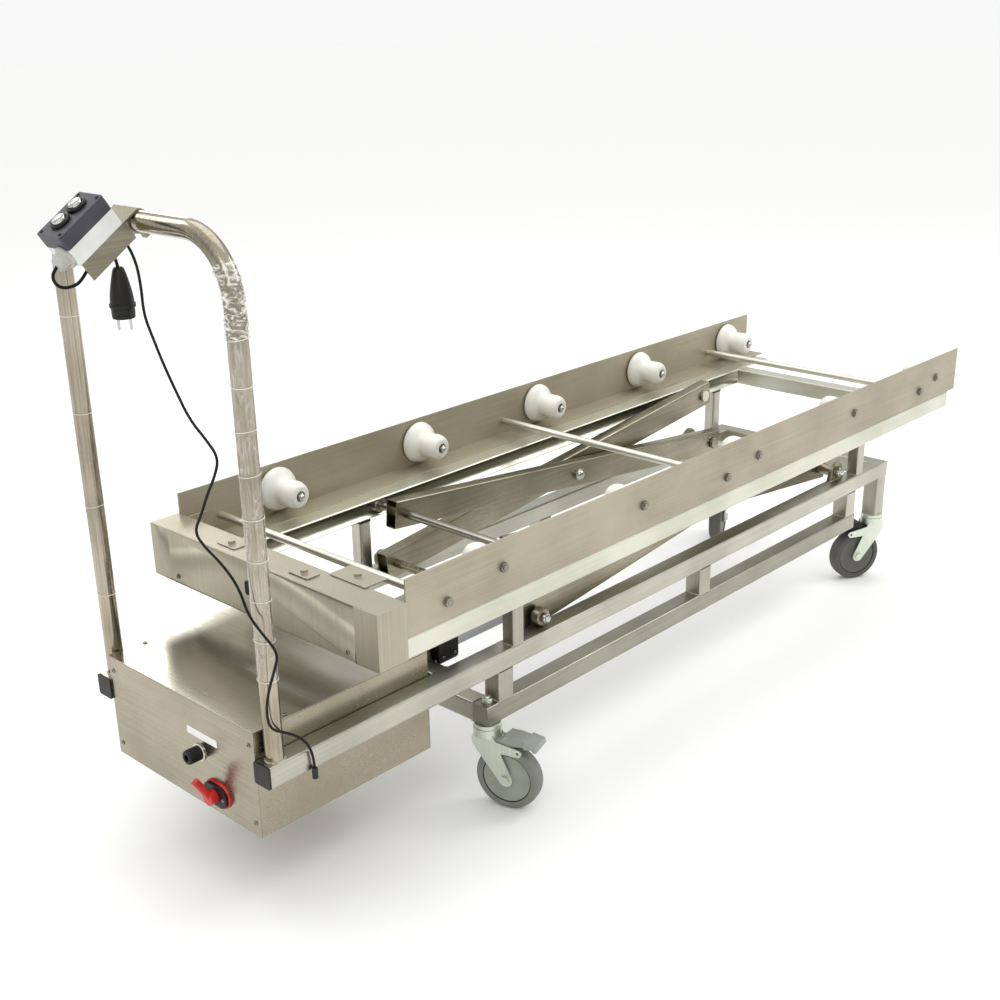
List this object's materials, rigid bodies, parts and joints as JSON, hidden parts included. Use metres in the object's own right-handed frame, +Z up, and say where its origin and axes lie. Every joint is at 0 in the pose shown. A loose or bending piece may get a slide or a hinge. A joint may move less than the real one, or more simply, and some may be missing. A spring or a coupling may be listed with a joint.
{
  "type": "coffin church truck",
  "caption": "Wheeled stainless coffin trolley with a flanged roller deck on a powered scissor lift, push handle with control box, and a rear power box.",
  "frame": {"origin": "centre of the footprint on the floor", "axes": "+X from the push handle towards the front of the deck, +Y to the left, +Z up"},
  "size_m": [2.3044, 0.684, 1.1914],
  "materials": {
    "stainless": "brushed stainless, satin",
    "filmed_stainless": "polished stainless under clear protective film",
    "zinc_steel": "zinc plated",
    "chrome_steel": "polished",
    "black_rubber": "matte",
    "wheel_grey": "moulded grey thermoplastic rubber",
    "pedal_grey": "moulded",
    "pedal_black": "moulded",
    "nylon_white": "turned nylon",
    "control_grey": "moulded",
    "control_charcoal": "moulded",
    "button_silver": "satin",
    "plastic_black": "moulded",
    "isolator_red": "moulded",
    "actuator_grey": "cast and anodised",
    "battery_case": "moulded"
  },
  "bodies": {
    "base": {"base_side_tubes": "stainless", "base_cross_tubes": "stainless", "base_posts": "stainless", "rubber_pads_and_caps": "black_rubber", "power_box_tray": "stainless", "power_box_lid": "stainless", "power_box_rear_panel": "stainless", "power_pack": "battery_case", "push_handle": "filmed_stainless", "control_bracket": "stainless", "control_box_base": "control_grey", "control_box_lid": "control_charcoal", "cable_gland": "control_grey", "isolator_base": "isolator_red", "charge_socket": "plastic_black", "caster_stems": "zinc_steel", "actuator_gearbox": "plastic_black", "actuator_drive": "actuator_grey", "pivot_brackets": "stainless", "plug_lead": "black_rubber", "mains_plug": "plastic_black", "control_lead": "black_rubber", "lead_connector": "plastic_black"},
    "arm_a": {"scissor_arms_a": "stainless", "centre_pivots": "chrome_steel"},
    "arm_a_rollers": {"arm_a_roller_set": "stainless"},
    "arm_b": {"scissor_arms_b": "stainless"},
    "arm_b_rollers": {"arm_b_roller_set": "stainless"},
    "actuator_rod": {"actuator_rod": "chrome_steel"},
    "deck": {"deck_frame": "stainless", "deck_fences": "stainless", "tie_rods": "stainless", "rear_housing": "stainless", "roller_axles": "zinc_steel"},
    "button_up": {"button_up": "button_silver"},
    "button_down": {"button_down": "button_silver"},
    "isolator_plug": {"isolator_plug": "isolator_red"},
    "deck_roller_left_1": {"deck_roller_left_1": "nylon_white"},
    "deck_roller_left_2": {"deck_roller_left_2": "nylon_white"},
    "deck_roller_left_3": {"deck_roller_left_3": "nylon_white"},
    "deck_roller_left_4": {"deck_roller_left_4": "nylon_white"},
    "deck_roller_left_5": {"deck_roller_left_5": "nylon_white"},
    "deck_roller_right_1": {"deck_roller_right_1": "nylon_white"},
    "deck_roller_right_2": {"deck_roller_right_2": "nylon_white"},
    "deck_roller_right_3": {"deck_roller_right_3": "nylon_white"},
    "deck_roller_right_4": {"deck_roller_right_4": "nylon_white"},
    "deck_roller_right_5": {"deck_roller_right_5": "nylon_white"},
    "fork_rear_right": {"caster_fork_rear_right": "zinc_steel"},
    "wheel_rear_right": {"caster_wheel_rear_right": "wheel_grey"},
    "pedal_rear_right": {"brake_pedal_rear_right": "pedal_grey"},
    "fork_rear_left": {"caster_fork_rear_left": "zinc_steel"},
    "wheel_rear_left": {"caster_wheel_rear_left": "wheel_grey"},
    "pedal_rear_left": {"brake_pedal_rear_left": "pedal_grey"},
    "fork_front_right": {"caster_fork_front_right": "zinc_steel"},
    "wheel_front_right": {"caster_wheel_front_right": "wheel_grey"},
    "pedal_front_right": {"brake_pedal_front_right": "pedal_black"},
    "fork_front_left": {"caster_fork_front_left": "zinc_steel"},
    "wheel_front_left": {"caster_wheel_front_left": "wheel_grey"},
    "pedal_front_left": {"brake_pedal_front_left": "pedal_black"}
  },
  "joints": [
    {"name": "lift", "type": "hinge", "parent": "base", "child": "arm_a", "pos_m": [0.7508, 0, 0.3303], "axis": [0, 1, 0], "range_deg": [0, 25]},
    {"name": "scissor_cross", "type": "hinge", "parent": "arm_a", "child": "arm_b", "pos_m": [0.19909, 0, 0.39065], "axis": [0, 1, 0], "range_deg": [-50, 0]},
    {"name": "deck_level", "type": "hinge", "parent": "arm_b", "child": "deck", "pos_m": [0.7508, 0, 0.451], "axis": [0, 1, 0], "range_deg": [0, 25]},
    {"name": "rod_level", "type": "hinge", "parent": "arm_b", "child": "actuator_rod", "pos_m": [-0.35262, 0, 0.3303], "axis": [0, 1, 0], "range_deg": [0, 25]},
    {"name": "upper_rollers_turn", "type": "hinge", "parent": "arm_a", "child": "arm_a_rollers", "pos_m": [-0.35262, 0, 0.451], "axis": [0, 1, 0], "continuous": true},
    {"name": "lower_rollers_turn", "type": "hinge", "parent": "arm_b", "child": "arm_b_rollers", "pos_m": [-0.35262, 0, 0.3303], "axis": [0, 1, 0], "continuous": true},
    {"name": "deck_roller_left_1_turn", "type": "hinge", "parent": "deck", "child": "deck_roller_left_1", "pos_m": [-0.5527, 0.27, 0.5235], "axis": [0, 1, 0], "continuous": true},
    {"name": "deck_roller_left_2_turn", "type": "hinge", "parent": "deck", "child": "deck_roller_left_2", "pos_m": [-0.1547, 0.27, 0.5235], "axis": [0, 1, 0], "continuous": true},
    {"name": "deck_roller_left_3_turn", "type": "hinge", "parent": "deck", "child": "deck_roller_left_3", "pos_m": [0.2433, 0.27, 0.5235], "axis": [0, 1, 0], "continuous": true},
    {"name": "deck_roller_left_4_turn", "type": "hinge", "parent": "deck", "child": "deck_roller_left_4", "pos_m": [0.6413, 0.27, 0.5235], "axis": [0, 1, 0], "continuous": true},
    {"name": "deck_roller_left_5_turn", "type": "hinge", "parent": "deck", "child": "deck_roller_left_5", "pos_m": [1.0393, 0.27, 0.5235], "axis": [0, 1, 0], "continuous": true},
    {"name": "deck_roller_right_1_turn", "type": "hinge", "parent": "deck", "child": "deck_roller_right_1", "pos_m": [-0.5527, -0.27, 0.5235], "axis": [0, 1, 0], "continuous": true},
    {"name": "deck_roller_right_2_turn", "type": "hinge", "parent": "deck", "child": "deck_roller_right_2", "pos_m": [-0.1547, -0.27, 0.5235], "axis": [0, 1, 0], "continuous": true},
    {"name": "deck_roller_right_3_turn", "type": "hinge", "parent": "deck", "child": "deck_roller_right_3", "pos_m": [0.2433, -0.27, 0.5235], "axis": [0, 1, 0], "continuous": true},
    {"name": "deck_roller_right_4_turn", "type": "hinge", "parent": "deck", "child": "deck_roller_right_4", "pos_m": [0.6413, -0.27, 0.5235], "axis": [0, 1, 0], "continuous": true},
    {"name": "deck_roller_right_5_turn", "type": "hinge", "parent": "deck", "child": "deck_roller_right_5", "pos_m": [1.0393, -0.27, 0.5235], "axis": [0, 1, 0], "continuous": true},
    {"name": "swivel_rear_right", "type": "hinge", "parent": "base", "child": "fork_rear_right", "pos_m": [-0.5127, -0.23, 0.15], "axis": [0, 0, 1], "continuous": true},
    {"name": "roll_rear_right", "type": "hinge", "parent": "fork_rear_right", "child": "wheel_rear_right", "pos_m": [-0.49879, -0.2728, 0.065], "axis": [0.9511, 0.309, 0], "continuous": true},
    {"name": "brake_rear_right", "type": "hinge", "parent": "fork_rear_right", "child": "pedal_rear_right", "pos_m": [-0.50776, -0.24522, 0.14], "axis": [0.9511, 0.309, 0], "range_deg": [0, 7], "stiffness_Nm_per_rad": 4},
    {"name": "swivel_rear_left", "type": "hinge", "parent": "base", "child": "fork_rear_left", "pos_m": [-0.5127, 0.23, 0.15], "axis": [0, 0, 1], "continuous": true},
    {"name": "roll_rear_left", "type": "hinge", "parent": "fork_rear_left", "child": "wheel_rear_left", "pos_m": [-0.49879, 0.2728, 0.065], "axis": [-0.9511, 0.309, 0], "continuous": true},
    {"name": "brake_rear_left", "type": "hinge", "parent": "fork_rear_left", "child": "pedal_rear_left", "pos_m": [-0.50776, 0.24522, 0.14], "axis": [-0.9511, 0.309, 0], "range_deg": [0, 7], "stiffness_Nm_per_rad": 4},
    {"name": "swivel_front_right", "type": "hinge", "parent": "base", "child": "fork_front_right", "pos_m": [0.9353, -0.23, 0.15], "axis": [0, 0, 1], "continuous": true},
    {"name": "roll_front_right", "type": "hinge", "parent": "fork_front_right", "child": "wheel_front_right", "pos_m": [0.89557, -0.20887, 0.065], "axis": [-0.4695, -0.8829, 0], "continuous": true},
    {"name": "brake_front_right", "type": "hinge", "parent": "fork_front_right", "child": "pedal_front_right", "pos_m": [0.92117, -0.22249, 0.14], "axis": [-0.4695, -0.8829, 0], "range_deg": [0, 7], "stiffness_Nm_per_rad": 4},
    {"name": "swivel_front_left", "type": "hinge", "parent": "base", "child": "fork_front_left", "pos_m": [0.9353, 0.23, 0.15], "axis": [0, 0, 1], "continuous": true},
    {"name": "roll_front_left", "type": "hinge", "parent": "fork_front_left", "child": "wheel_front_left", "pos_m": [0.89452, 0.21098, 0.065], "axis": [0.4226, -0.9063, 0], "continuous": true},
    {"name": "brake_front_left", "type": "hinge", "parent": "fork_front_left", "child": "pedal_front_left", "pos_m": [0.9208, 0.22324, 0.14], "axis": [0.4226, -0.9063, 0], "range_deg": [0, 7], "stiffness_Nm_per_rad": 4},
    {"name": "button_up_press", "type": "slide", "parent": "base", "child": "button_up", "axis": [0.5519, 0, -0.8339], "range_m": [0, 0.004], "stiffness_N_per_m": 400},
    {"name": "button_down_press", "type": "slide", "parent": "base", "child": "button_down", "axis": [0.5519, 0, -0.8339], "range_m": [0, 0.004], "stiffness_N_per_m": 400},
    {"name": "isolator_turn", "type": "hinge", "parent": "base", "child": "isolator_plug", "pos_m": [-1.0467, -0.098, 0.203], "axis": [1, 0, 0], "range_deg": [0, 90]}
  ],
  "couplings": [
    {"joint": "scissor_cross", "follows": "lift", "ratio": -2},
    {"joint": "deck_level", "follows": "lift", "ratio": 1},
    {"joint": "rod_level", "follows": "lift", "ratio": 1}
  ]
}
